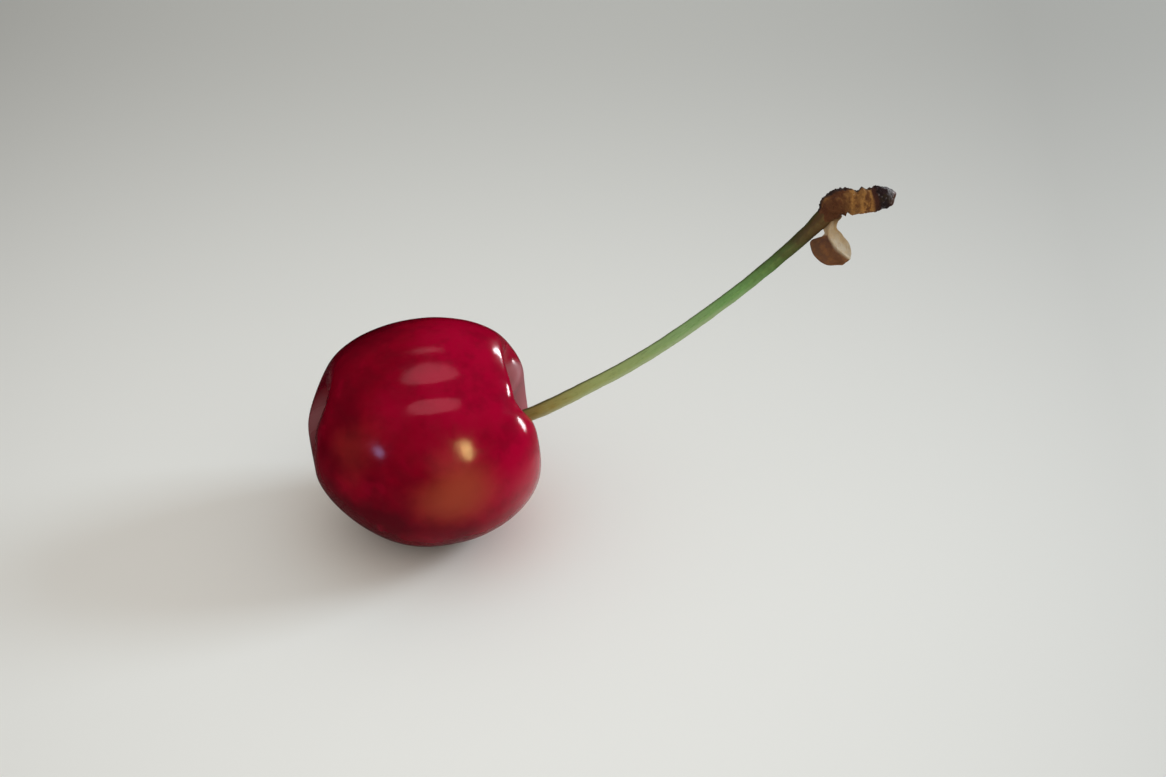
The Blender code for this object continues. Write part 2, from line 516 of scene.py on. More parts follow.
@dataclass(frozen=True)
class SkinFinish:
    """Tight glossy skin over dark flesh, with faint pores, a brown scar, painted light and shade in
    its tone, a painted warm reflection and a painted sheen in its hollows.
    """

    deep: Colour = (0.100, 0.0, 0.006)
    red: Colour = (0.27, 0.0, 0.013)
    bright: Colour = (0.40, 0.0, 0.026)
    # the colour of the painted warm reflection
    painted_reflection: Colour = (0.40, 0.062, 0.028)
    pore: Colour = (0.42, 0.02, 0.03)
    scar: Colour = (0.10, 0.035, 0.015)
    # the colour of the painted sheen on the hollows' back walls
    pale_tint: Colour = (0.38, 0.16, 0.17)
    tone_stops: tuple[float, float, float] = (0.12, 0.52, 0.95)
    broad: Weave = (0.16, 3.0, 0.5)
    broad_sway: float = 1.1
    patch: Weave = (0.42, 5.0, 0.6)
    deep_patches: Span = (0.44, 0.70, 0, 0.30)
    bright_patches: Span = (0.44, 0.28, 0, 0.24)
    reflection_sway: float = 0.35
    reflection_level: Span = (0.12, 0.95, 0, 0.85)
    pores_in_a_millimetre: float = 1.3
    pore_edge: Span = (0.0, 0.10, 1, 0)
    pore_share: float = 0.16
    sheen_share: float = 0.6
    gloss: Weave = (0.8, 4.0, 0.5)
    gloss_range: Span = (0.3, 0.7, 0.13, 0.18)
    scar_roughness: float = 0.7
    sheen_roughness: float = 0.5
    fine: Weave = (3.0, 4.0, 0.5)
    relief: float = 0.003

    def make(self) -> bpy.types.Material:
        """Builds the material.

        Returns:
            The skin's material, which reads the numbers that the fruit stores on its mesh.
        """
        desk = ShaderDesk.named("cherry skin")
        where = desk.add(
            "CombineXYZ", *(desk.reading(name) for name in ("suture_way", "cheek_way", "stem_way"))
        ).outputs[0]
        patch = desk.cloud(where, self.patch)
        sway = desk.sway(desk.cloud(where, self.broad), self.broad_sway)
        # the skin's own tone with painted light and shade: brighter towards the stem end, darker
        # towards both cheeks
        ripe = desk.plus(desk.reading("ripeness_and_light"), sway)
        flesh = desk.ramp(ripe, tuple(zip(self.tone_stops, (self.deep, self.red, self.bright))))
        flesh = desk.coat(flesh, self.deep, patch, self.deep_patches)
        flesh = desk.coat(flesh, self.bright, patch, self.bright_patches)
        # painted reflection: a warm patch laid into the skin's colour
        reflection_level = desk.plus(desk.reading("painted_reflection"), desk.times(sway, self.reflection_sway))
        flesh = desk.coat(flesh, self.painted_reflection, reflection_level, self.reflection_level)
        pores = desk.grade(desk.cells(where, self.pores_in_a_millimetre), self.pore_edge)
        flesh = desk.mix(desk.times(pores, self.pore_share), flesh, self.pore)
        # painted sheen: a pale reflection on the hollows' back walls, which are also made rougher
        painted_sheen = desk.reading("painted_sheen")
        flesh = desk.mix(desk.times(painted_sheen, self.sheen_share), flesh, self.pale_tint)
        scar = desk.reading("scar")
        flesh = desk.mix(scar, flesh, self.scar)
        gloss = desk.grade(desk.cloud(where, self.gloss), self.gloss_range)
        gloss = desk.most(gloss, desk.times(scar, self.scar_roughness))
        gloss = desk.most(gloss, desk.times(painted_sheen, self.sheen_roughness))
        desk.dress(flesh, gloss)
        desk.fix(IOR=1.36, Specular_IOR_Level=0.34)
        desk.emboss((desk.cloud(where, self.fine), self.relief), (pores, self.relief))
        return desk.material


@dataclass(frozen=True)
class StalkFinish:
    """A green stalk, yellower at the fruit and turning to brown bark at its end."""

    along: Stops = (
        (0.00, (0.24, 0.22, 0.06)),
        (0.14, (0.37, 0.33, 0.085)),
        (0.30, (0.36, 0.44, 0.15)),
        (0.52, (0.26, 0.43, 0.16)),
        (0.70, (0.165, 0.37, 0.100)),
        (0.81, (0.090, 0.185, 0.038)),
        (0.90, (0.072, 0.058, 0.015)),
        (1.00, (0.11, 0.045, 0.010)),
    )
    shade: Colour = (0.05, 0.06, 0.012)
    pale_tint: Colour = (0.50, 0.55, 0.33)
    fibre: Weave = (5.5, 4.0, 0.65)
    fibre_run: float = 9.0
    dark_fibres: Span = (0.54, 0.75, 0, 0.45)
    pale_fibres: Span = (0.45, 0.25, 0, 0.30)
    blotch: Weave = (1.1, 4.0, 0.6)
    blotch_sway: float = 0.12
    pale_belly: Span = (-0.25, -0.9, 0, 0.5)
    pale_until: Span = (0.85, 0.6, 0, 1)
    dark_back: Span = (0.62, 0.98, 0, 0.75)
    roughness: Span = (0.3, 0.7, 0.38, 0.6)
    fine: Weave = (6.0, 4.0, 0.5)
    fibre_relief: float = 0.05
    fine_relief: float = 0.02

    def make(self) -> bpy.types.Material:
        """Builds the material.

        Returns:
            The stalk's material, which changes along the stalk and around it.
        """
        desk = ShaderDesk.named("green stalk")
        along = desk.reading("along")
        across = desk.reading("around_x")
        where = desk.place()
        strand = desk.add(
            "CombineXYZ", desk.times(along, self.fibre_run), across, desk.reading("around_y")
        )
        fibres = desk.cloud(strand.outputs[0], self.fibre)
        blotch = desk.cloud(where, self.blotch)
        green = desk.ramp(desk.plus(along, desk.sway(blotch, self.blotch_sway)), self.along)
        green = desk.coat(green, self.shade, fibres, self.dark_fibres)
        belly = desk.grade(across, self.pale_belly)
        pale = desk.plus(desk.grade(fibres, self.pale_fibres), belly)
        pale = desk.times(pale, desk.grade(along, self.pale_until))
        green = desk.mix(pale, green, self.pale_tint)
        green = desk.coat(green, self.shade, across, self.dark_back)
        desk.dress(green, desk.grade(blotch, self.roughness))
        desk.fix(Specular_IOR_Level=0.25)
        fine = desk.cloud(where, self.fine)
        desk.emboss((fibres, self.fibre_relief), (fine, self.fine_relief))
        return desk.material


@dataclass(frozen=True)
class BarkFinish:
    """Wrinkled dry bark, orange brown, dark in its cracks and blackened at the broken end."""

    elbow: Colour = (0.100, 0.027, 0.006)
    ochre: Colour = (0.27, 0.125, 0.030)
    pale: Colour = (0.44, 0.20, 0.045)
    dark: Colour = (0.13, 0.042, 0.010)
    band: Colour = (0.055, 0.012, 0.006)
    crust: Colour = (0.018, 0.010, 0.010)
    # grey flecks on the black tip
    fleck_grey: Colour = (0.20, 0.18, 0.19)
    crease_stretch: Place = (1.5, 0.7, 0.7)
    crease: Weave = (1.5, 6.0, 0.7)
    fleck: Weave = (3.2, 5.0, 0.65)
    soft: Weave = (0.55, 3.0, 0.5)
    edge_sway: float = 0.10
    pale_wood: Span = (0.36, 0.60, 0, 1)
    ochre_wood: Span = (0.40, 0.62, 0, 0.7)
    dark_flecks: Span = (0.56, 0.74, 0, 0.65)
    dark_cracks: Span = (-0.02, -0.10, 0, 0.8)
    ochre_elbow: Span = (0.46, 0.66, 0, 0.7)
    elbow_until: Span = (0.46, 0.36, 0, 0.95)
    crusted_top: Span = (0.80, 0.95, 0, 0.85)
    band_from: Span = (0.70, 0.735, 0, 1)
    burnt_from: Span = (0.77, 0.81, 0, 1)
    fleck_grey_span: Span = (0.56, 0.66, 0, 0.8)
    brown_tip: Span = (0.93, 0.985, 0, 0.6)
    roughness: float = 0.85
    burnt_gloss: float = 0.5
    crease_relief: float = 0.20
    fleck_relief: float = 0.07

    def make(self) -> bpy.types.Material:
        """Builds the material.

        Returns:
            The bark's material, which goes from the elbow to the burnt tip.
        """
        desk = ShaderDesk.named("brown bark")
        crease = desk.cloud(desk.place(self.crease_stretch), self.crease)
        where = desk.place()
        fleck = desk.cloud(where, self.fleck)
        soft = desk.cloud(where, self.soft)
        sunk = desk.reading("height")
        wood = desk.coat(self.dark, self.pale, crease, self.pale_wood)
        wood = desk.coat(wood, self.ochre, soft, self.ochre_wood)
        wood = desk.coat(wood, self.elbow, fleck, self.dark_flecks)
        wood = desk.coat(wood, self.dark, sunk, self.dark_cracks)
        ragged = desk.sway(crease, self.edge_sway)
        run = desk.plus(desk.reading("along"), ragged)
        knot = desk.coat(self.elbow, self.ochre, soft, self.ochre_elbow)
        wood = desk.coat(wood, knot, run, self.elbow_until)
        ridge = desk.plus(desk.reading("upper"), ragged)
        wood = desk.coat(wood, self.crust, ridge, self.crusted_top)
        wood = desk.coat(wood, self.band, run, self.band_from)
        burnt = desk.grade(run, self.burnt_from)
        crust = desk.coat(self.crust, self.fleck_grey, fleck, self.fleck_grey_span)
        crust = desk.coat(crust, self.elbow, run, self.brown_tip)
        rough = desk.less(self.roughness, desk.times(burnt, self.burnt_gloss))
        desk.dress(desk.mix(burnt, wood, crust), rough)
        desk.fix(Specular_IOR_Level=0.3)
        desk.emboss((crease, self.crease_relief), (fleck, self.fleck_relief))
        return desk.material


@dataclass(frozen=True)
class ScaleFinish:
    """A papery dried scale, tan on its stalk and back blade, and dark brown inside its front blade,
    which is painted shade.
    """

    tan: Colour = (0.46, 0.30, 0.13)
    pale: Colour = (0.44, 0.36, 0.25)
    # the dark brown painted as shade inside the front blade
    brown: Colour = (0.10, 0.030, 0.008)
    amber: Colour = (0.27, 0.105, 0.028)
    vein: Colour = (0.30, 0.14, 0.045)
    joint: Colour = (0.16, 0.075, 0.018)
    blotch: Weave = (1.2, 4.0, 0.6)
    vein_stretch: Place = (1.6, 0.5, 0.5)
    veins: Weave = (2.6, 4.0, 0.6)
    worn_blotches: Span = (0.35, 0.65, 0, 0.5)
    worn_down: Span = (0.3, 0.6, 0, 0.5)
    vein_lines: Span = (0.52, 0.7, 0, 0.45)
    joint_until: Span = (0.24, 0.0, 0, 0.9)
    amber_blotches: Span = (0.4, 0.7, 0, 0.5)
    amber_down: Span = (0.5, 1.0, 0, 0.5)
    roughness: Span = (0.3, 0.7, 0.7, 0.9)
    fine: Weave = (7.0, 4.0, 0.5)
    vein_relief: float = 0.08
    fine_relief: float = 0.03

    def make(self) -> bpy.types.Material:
        """Builds the material.

        Returns:
            The scale's material, which tells its inside from its outside and paints the inside dark as
            shade.
        """
        desk = ShaderDesk.named("dry scale")
        down = desk.reading("down")
        where = desk.place()
        blotch = desk.cloud(where, self.blotch)
        veins = desk.cloud(desk.place(self.vein_stretch), self.veins)
        worn = desk.plus(desk.grade(blotch, self.worn_blotches), desk.grade(down, self.worn_down))
        outside = desk.mix(worn, self.tan, self.pale)
        outside = desk.coat(outside, self.vein, veins, self.vein_lines)
        outside = desk.coat(outside, self.joint, down, self.joint_until)
        lit = desk.plus(desk.grade(blotch, self.amber_blotches), desk.grade(down, self.amber_down))
        inside = desk.mix(lit, self.brown, self.amber)
        # painted shade: the front blade's inside is dark brown
        colour = desk.mix(desk.reading("inner"), outside, inside)
        desk.dress(colour, desk.grade(blotch, self.roughness))
        fine = desk.cloud(where, self.fine)
        desk.emboss((veins, self.vein_relief), (fine, self.fine_relief))
        return desk.material


@dataclass(frozen=True)
class TableFinish:
    """A plain pale matt table, with painted shade where its tone falls off away from the light.

    The middle and the reaches are in millimetres from where the fruit rests.
    """

    # painted shade: the tone goes from the front colour to the back colour, and darkens to the sides
    front: Colour = (0.945, 0.945, 0.91)
    back: Colour = (0.54, 0.54, 0.512)
    depth: Span = (-30.0, 125.0, 0, 1)
    depth_bend: float = 1.3
    middle: float = 5.0
    side_fall: float = 3.7e-5
    side_most: float = 0.2
    # painted warm bounce light around where the fruit rests
    warm: Colour = (0.95, 0.76, 0.58)
    bounce_reach: Span = (20.0, 7.0, 0, 0.22)

    def make(self) -> bpy.types.Material:
        """Builds the material.

        Returns:
            The table's material, with painted shade darker to the back and the sides, and painted warm
            bounce light by the fruit.
        """
        desk = ShaderDesk.named("pale table")
        split = desk.add("SeparateXYZ", desk.place())
        along, deep = split.outputs[0], split.outputs[1]
        away = desk.power(desk.grade(deep, self.depth), self.depth_bend)
        tone = desk.mix(away, self.front, self.back)
        aside = desk.less(along, self.middle)
        fall = desk.times(desk.times(aside, aside), self.side_fall)
        tone = desk.mix(desk.least(fall, self.side_most), tone, BLACK)
        flat = desk.add("CombineXYZ", along, deep).outputs[0]
        from_fruit = desk.add("VectorMath", flat, operation="LENGTH").outputs["Value"]
        # painted warm bounce light by the fruit
        tone = desk.coat(tone, self.warm, from_fruit, self.bounce_reach)
        desk.feed(desk.shader.inputs["Base Color"], tone)
        desk.fix(Roughness=0.75, Specular_IOR_Level=0.25)
        return desk.material


@dataclass
class Piece:
    """One finished piece of the cherry, and the fixed node that it stands for."""

    node: str
    slot: Slot
    mesh: bpy.types.Mesh
    material: bpy.types.Material

    def fit(self) -> bpy.types.Object:
        """Adds the piece to the scene, in place of its fixed node.

        Returns:
            The piece's object.
        """
        self.mesh.materials.append(self.material)
        self.mesh.polygons.foreach_set("use_smooth", [True] * len(self.mesh.polygons))
        made = bpy.data.objects.new(self.node + "_piece", self.mesh)
        bpy.context.scene.collection.objects.link(made)
        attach(made, "root")
        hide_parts(self.node)
        return made


def skin_over(name: str, rings: np.ndarray, start: np.ndarray, end: np.ndarray) -> bpy.types.Mesh:
    """Closes rings of points into one skin, with a point at each end.

    Args:
        name: The mesh's name.
        rings: Places by ring and by sector.
        start: The place before the first ring.
        end: The place after the last ring.

    Returns:
        A closed mesh that faces out where the rings turn right-handed about their course.
    """
    count, sectors = rings.shape[:2]
    places = np.vstack([rings.reshape(-1, 3), start, end])
    index = np.arange(count * sectors).reshape(count, sectors)
    after = np.roll(index, -1, axis=1)
    quads = np.stack([index[:-1], after[:-1], after[1:], index[1:]], -1).reshape(-1, 4)
    first, last = count * sectors, count * sectors + 1
    faces = quads.tolist()
    faces += [(first, int(b), int(a)) for a, b in zip(index[0], after[0])]
    faces += [(last, int(a), int(b)) for a, b in zip(index[-1], after[-1])]
    mesh = bpy.data.meshes.new(name)
    mesh.from_pydata(places.tolist(), [], faces)
    mesh.update()
    return mesh


def store(
    mesh: bpy.types.Mesh, name: str, values: np.ndarray, ends: Sequence[float] = ()
) -> None:
    """Stores a number on each point of a mesh, and on its two end points if it has them."""
    made = mesh.attributes.new(name, "FLOAT", "POINT")
    made.data.foreach_set("value", np.append(values.ravel(), ends).astype(np.float32))


@dataclass(frozen=True)
class ReflectionSpot:
    """A round soft patch of painted warm reflection on the skin, or redder where its strength is
    negative.
    """

    middle: Place
    reach: float
    strength: float

    def strength_at(self, places: np.ndarray) -> np.ndarray:
        """How much painted warm reflection it lays on the skin at these places in the fruit's own
        axes.
        """
        away = np.linalg.norm(places - np.array(self.middle), axis=-1)
        return self.strength * bump(away, 0, self.reach)


@dataclass(frozen=True)
class Fruit:
    """Skin and flesh: the shape, how it lies, and its finish."""

    form: FruitForm = FruitForm()
    finish: SkinFinish = SkinFinish()
    lean: float = math.radians(35)
    tilt: float = math.radians(7.9)
    yaw: float = math.radians(-5.1)
    suture_roll: float = math.radians(57)
    rings: int = 190
    sectors: int = 280
    ring_crowding: float = 0.15  # finer around the two hollows
    sector_crowding: float = 0.3  # and finer along the suture
    unevenness: float = 0.05
    swells: tuple[Ripple, ...] = (Ripple(1.0, 5.5, 3.1), Ripple(0.5, 2.6, 7.7))
    scar_width: float = 0.55
    scar_strength: float = 1.4
    middle_at: tuple[float, float] = (0.37, 0.49)
    middle_tone: float = 0.50
    brightening: Place = (0.027, 0.008, 0.036)  # its own tone and painted light: brighter to the suture, the cheek and the stem
    fading: float = 0.0019  # and painted shade: darker to both cheeks, by the square of the distance
    stem_hollow: tuple[float, float] = (6.3, 5.2)  # from the axis: where the painted sheen starts and is full
    blossom_hollow: tuple[float, float] = (6.0, 3.4)
    blossom_sheen: float = 0.7
    sheen_from: float = 0.8  # and only on the back wall, which starts here across the fruit
    sheen_over: float = 3.6
    sheen_ends: tuple[float, float] = (0.1, 0.1)
    # patches of painted warm reflection; a negative one makes the skin redder
    spots: tuple[ReflectionSpot, ...] = (
        ReflectionSpot((6.9, 9.75, 1.1), 3.2, 1.0),
        ReflectionSpot((9.6, 6.9, -0.7), 2.4, -0.7),
        ReflectionSpot((7.9, 4.0, -8.4), 3.0, 0.38),
        ReflectionSpot((10.2, 5.4, -2.0), 2.4, 0.24),
    )

    def turn(self) -> Matrix:
        """How the fruit lies.

        Returns:
            The rotation from its own axes.
        """
        slope = Slope(Vector(), self.lean)
        stemward = Vector((math.cos(self.tilt), 0, 0)) + slope.rise * math.sin(self.tilt)
        stemward = (stemward + slope.towards * math.tan(self.yaw)).normalized()
        up_front = Vector((0, -math.cos(self.suture_roll), math.sin(self.suture_roll)))
        cheekward = stemward.cross(up_front).normalized()
        return Matrix((cheekward.cross(stemward), cheekward, stemward)).transposed()

    def skin(self) -> tuple[np.ndarray, np.ndarray]:
        """The skin's places.

        Returns:
            Places in the fruit's own axes, ring by ring, and its two poles.
        """
        polar = np.linspace(0, math.pi, self.rings + 2)[1:-1, None]
        polar = polar - self.ring_crowding * np.sin(2 * polar)
        around = np.linspace(0, 2 * math.pi, self.sectors, endpoint=False)[None, :]
        around = around - self.sector_crowding * np.sin(around)
        polar, around = np.broadcast_arrays(polar, around)
        places = self.form.shape(polar, around)
        poles = self.form.shape(np.array([0.0, math.pi]), np.zeros(2))
        outward = places / np.linalg.norm(places, axis=-1, keepdims=True)
        swell = sum(ripple.over(places) for ripple in self.swells)
        places = places + outward * (self.unevenness * swell * np.sin(polar))[..., None]
        return places, poles

    def seat(self, lying: np.ndarray) -> tuple[Vector, float]:
        """Fits the fruit into the fixed fruit's box.

        Args:
            lying: The skin's places about its middle, turned the way the fruit lies.

        Returns:
            Where its middle goes, and its scale.
        """
        low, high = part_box("fruit")
        least, most = lying.min(axis=0), lying.max(axis=0)
        scale = (high.x - low.x) / ((most[0] - least[0]) * MM)
        middle = Vector((
            (low.x + high.x) / 2 - (least[0] + most[0]) / 2 * MM * scale,
            (low.y + high.y) / 2 - (least[1] + most[1]) / 2 * MM * scale,
            high.z - most[2] * MM * scale,
        ))
        return middle, scale

    def ripeness_and_light(
        self, places: np.ndarray, poles: np.ndarray
    ) -> tuple[np.ndarray, tuple[float, float]]:
        """How bright the skin is: its own tone, with painted light towards the stem end and the suture
        and painted shade towards both cheeks.

        Args:
            places: The skin's places in its own axes.
            poles: Its two poles.

        Returns:
            A value for each place and for the two poles, mostly from 0 to 1.
        """
        bright, end_bright = (
            self.middle_tone + spots @ np.array(self.brightening) - self.fading * spots[..., 1] ** 2
            for spots in (places, poles)
        )
        return bright, (float(end_bright[0]), float(end_bright[1]))

    def painted_reflection(self, places: np.ndarray) -> np.ndarray:
        """How much painted warm reflection the skin has, from 0 to 1."""
        return np.clip(sum(spot.strength_at(places) for spot in self.spots), 0, 1)

    def painted_sheen(self, places: np.ndarray) -> np.ndarray:
        """How much painted sheen the skin has: a pale reflection painted on the back wall of the stem
        cavity and of the dimple.

        Args:
            places: The skin's places in its own axes.

        Returns:
            A value from 0 to 1 for each place.
        """
        from_axis = np.hypot(places[..., 0], places[..., 1])
        stemward, blossomward = (
            np.clip((rim - from_axis) / (rim - inside), 0, 1)
            for rim, inside in (self.stem_hollow, self.blossom_hollow)
        )
        depth = np.where(places[..., 2] > 0, stemward, self.blossom_sheen * blossomward)
        back = np.clip((self.sheen_from - places[..., 1]) / self.sheen_over, 0, 1)
        return depth * back * back * (3 - 2 * back)

    def build(self) -> tuple[bpy.types.Object, Slope]:
        """Makes the fruit.

        Returns:
            The fruit, and the slanted plane that the other pieces grow about.
        """
        places, poles = self.skin()
        turn = np.array(self.turn())
        lying = places.reshape(-1, 3) @ turn.T
        middle, scale = self.seat(lying)
        world = lying * (MM * scale) + np.array(middle)
        world[:, 2] = np.maximum(world[:, 2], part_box("fruit")[0].z)
        ends = poles @ turn.T * (MM * scale) + np.array(middle)
        mesh = skin_over("fruit", world.reshape(places.shape)[:, ::-1], ends[0], ends[1])
        flipped = places[:, ::-1]
        scar = bump(np.hypot(flipped[..., 0], flipped[..., 1]), 0, self.scar_width)
        scar = np.clip(self.scar_strength * scar * (flipped[..., 2] < 0), 0, 1)
        store(mesh, "scar", scar, (0.0, 1.0))
        for axis, name in enumerate(("suture_way", "cheek_way", "stem_way")):
            store(mesh, name, flipped[..., axis], (poles[0][axis], poles[1][axis]))
        # the skin's tone, with painted light and shade
        store(mesh, "ripeness_and_light", *self.ripeness_and_light(flipped, poles))
        # painted warm reflection
        store(mesh, "painted_reflection", self.painted_reflection(flipped), (0.0, 0.0))
        # painted sheen on the back walls of the two hollows
        store(mesh, "painted_sheen", self.painted_sheen(flipped), self.sheen_ends)
        made = Piece("fruit", Slot.SKIN, mesh, self.finish.make()).fit()
        along, rise = (share * MM * scale for share in self.middle_at)
        slope = Slope(middle, self.lean, scale)
        foot = middle - Vector((along, 0, 0)) - slope.rise * rise
        return made, replace(slope, middle=foot)


@dataclass(frozen=True)
class Rod:
    """A round, uneven stick along a line, each of whose points has its own radius."""

    line: Line
    rings: int
    sectors: int

    def course(self) -> tuple[np.ndarray, np.ndarray, np.ndarray, np.ndarray]:
        """The line, smoothed.

        Returns:
            Its places, its radii, the directions across it by ring and by sector, and the
            share run at each ring, as a column.
        """
        rows = smooth_path(self.line, self.rings)
        places, radii = rows[:, :3], rows[:, 3]
        ahead = np.gradient(places, axis=0)
        ahead /= np.linalg.norm(ahead, axis=1, keepdims=True)
        front = np.array((0.0, 0.0, 1.0))
        up = np.cross(front, ahead)
        up /= np.linalg.norm(up, axis=1, keepdims=True)
        out = np.cross(ahead, up)
        angles = self.angles()
        across = np.cos(angles)[..., None] * up[:, None] + np.sin(angles)[..., None] * out[:, None]
        steps = np.linalg.norm(np.diff(places, axis=0), axis=1)
        run = np.append(0, np.cumsum(steps))
        return places, radii, across, (run / run[-1])[:, None]

    def angles(self) -> np.ndarray:
        """The sectors' angles, as a row: 0 is up, and a quarter turn is to the front."""
        return np.linspace(0, 2 * math.pi, self.sectors, endpoint=False)[None, :]


@dataclass(frozen=True)
class Stalk(Rod):
    """The green stalk, from the bottom of the cavity to its thick brown end."""

    line: Line = (
        (7.0, 1.15, -0.75, 0.80),
        (7.7, 1.17, -0.75, 0.70),
        (8.6, 1.22, -0.70, 0.70),
        (9.6, 1.4, -0.6, 0.72),
        (12.7, 2.6, -0.2, 0.74),
        (16.9, 4.7, 0.0, 0.72),
        (21.1, 6.9, 0.0, 0.70),
        (25.3, 9.45, 0.0, 0.68),
        (29.6, 12.42, 0.0, 0.67),
        (33.9, 15.6, 0.0, 0.66),
        (38.2, 19.15, 0.0, 0.70),
        (40.9, 21.55, 0.0, 0.80),
        (42.2, 22.75, 0.0, 0.95),
        (42.8, 23.3, 0.0, 0.95),
    )
    rings: int = 520
    sectors: int = 48
    ribs: int = 5
    rib_height: float = 0.035
    twist: float = 1.3
    low_ribs: int = 3
    low_rib_share: float = 0.5
    low_rib_twist: int = 2
    knobs: tuple[Ripple, ...] = (Ripple(0.035, 1.4, 5.0), Ripple(0.015, 0.5, 9.0))
    knotty_from: float = 0.9  # the knobs grow from this share of the run
    knotty_over: float = 0.1
    knotty: float = 2.0
    finish: StalkFinish = StalkFinish()

    def build(self, slope: Slope) -> bpy.types.Object:
        """Makes the stalk.

        Args:
            slope: The slanted plane that it grows on.

        Returns:
            The stalk.
        """
        places, radii, across, share = self.course()
        angles = self.angles()
        twist = self.twist * share
        low_ribs = np.cos(self.low_ribs * angles - self.low_rib_twist * twist)
        ribs = np.cos(self.ribs * (angles + twist)) + self.low_rib_share * low_ribs
        wide = radii[:, None] * (1 + self.rib_height * ribs)
        rings = places[:, None] + across * wide[..., None]
        knobs = sum(ripple.over(rings) for ripple in self.knobs)
        end = np.clip((share - self.knotty_from) / self.knotty_over, 0, 1)
        rings = rings + across * (knobs * (1 + self.knotty * end))[..., None]
        first, last = slope.place(places[0]), slope.place(places[-1])
        mesh = skin_over("stem", slope.place(rings), first, last)
        along = np.broadcast_to(share, rings.shape[:2])
        store(mesh, "along", along, (0.0, 1.0))
        store(mesh, "around_x", np.broadcast_to(np.cos(angles), along.shape), (0.0, 0.0))
        store(mesh, "around_y", np.broadcast_to(np.sin(angles), along.shape), (0.0, 0.0))
        return Piece("stem", Slot.STALK, mesh, self.finish.make()).fit()


@dataclass(frozen=True)
class SpurStub(Rod):
    """The broken piece of woody spur, from the stalk's end through its elbow to a black tip."""

    line: Line = (
        (42.1, 22.65, 0.0, 0.90),
        (42.7, 23.25, 0.0, 1.06),
        (43.2, 23.85, 0.0, 1.30),
        (43.9, 24.35, 0.0, 1.38),
        (44.7, 24.55, 0.0, 1.28),
        (45.5, 24.56, 0.0, 1.23),
        (46.3, 24.6, 0.0, 1.26),
        (47.0, 24.67, 0.0, 1.20),
        (47.7, 24.80, 0.0, 1.14),
        (48.3, 24.95, 0.0, 1.17),
        (48.8, 25.0, 0.0, 1.18),
        (49.3, 24.9, 0.0, 1.00),
        (49.8, 24.75, 0.0, 0.52),
    )
    rings: int = 300
    sectors: int = 110
    join: float = 0.1  # the bark's roughness grows over this share of the run
    facet_rings: int = 15
    facet_sectors: int = 9
    facet_height: float = 0.22
    facet_seed: int = 11
    sleeve_height: float = 0.03
    sleeve_pace: float = 46
    sleeve_wander: Ripple = Ripple(1.6, 1.1, 2.0)
    wrinkles: tuple[Ripple, ...] = (Ripple(0.09, 0.75, 4.0), Ripple(0.10, 0.32, 6.0))
    crust: Ripple = Ripple(0.70, 0.24, 8.0)
    crust_height: float = 0.35
    crust_from: float = 0.70
    crust_middle: float = 0.50
    crust_width: float = 0.28
    fine: Ripple = Ripple(0.03, 0.14, 1.5)
    finish: BarkFinish = BarkFinish()

    def facets(self, share: np.ndarray, angles: np.ndarray) -> np.ndarray:
        """Flat broken faces: random heights on a coarse net, joined by straight lines.

        Args:
            share: The share run along the line, as a column.
            angles: The sectors' angles, as a row.

        Returns:
            A height for each ring and sector.
        """
        random = np.random.default_rng(self.facet_seed)
        heights = random.uniform(-1, 1, (self.facet_rings + 1, self.facet_sectors))
        down = share * self.facet_rings
        across = angles / (2 * math.pi) * self.facet_sectors
        row = np.minimum(down.astype(int), self.facet_rings - 1)
        column = np.floor(across).astype(int) % self.facet_sectors
        beside = (column + 1) % self.facet_sectors
        along, aside = down - row, across - column
        near = blend(heights[row, column], heights[row, beside], aside)
        far = blend(heights[row + 1, column], heights[row + 1, beside], aside)
        return blend(near, far, along)

    def build(self, slope: Slope) -> bpy.types.Object:
        """Makes the stub.

        Args:
            slope: The slanted plane that it grows on.

        Returns:
            The stub.
        """
        places, radii, across, share = self.course()
        upper = np.cos(self.angles())
        rings = places[:, None] + across * radii[:, None, None]
        wander = self.sleeve_wander.over(rings)
        sleeves = self.sleeve_height * np.sin(share * self.sleeve_pace + wander)
        wrinkles = sum(ripple.over(rings) for ripple in self.wrinkles)
        faces = self.facet_height * self.facets(share, self.angles())
        crust = np.clip(upper - self.crust_from, 0, 1)
        crust = crust * (self.crust.over(rings) + self.crust_height)
        crust = crust * bump(share, self.crust_middle, self.crust_width)
        bark = sleeves + wrinkles + faces + crust + self.fine.over(rings)
        bark = np.clip(share / self.join, 0, 1) * bark
        rings = rings + across * bark[..., None]
        first, last = slope.place(places[0]), slope.place(places[-1])
        mesh = skin_over("spur_stub", slope.place(rings), first, last)
        along = np.broadcast_to(share, rings.shape[:2])
        store(mesh, "along", along, (0.0, 1.0))
        store(mesh, "upper", np.broadcast_to(upper, along.shape), (0.0, 0.0))
        store(mesh, "height", sleeves + wrinkles, (0.0, 0.0))
        return Piece("spur_stub", Slot.BARK, mesh, self.finish.make()).fit()


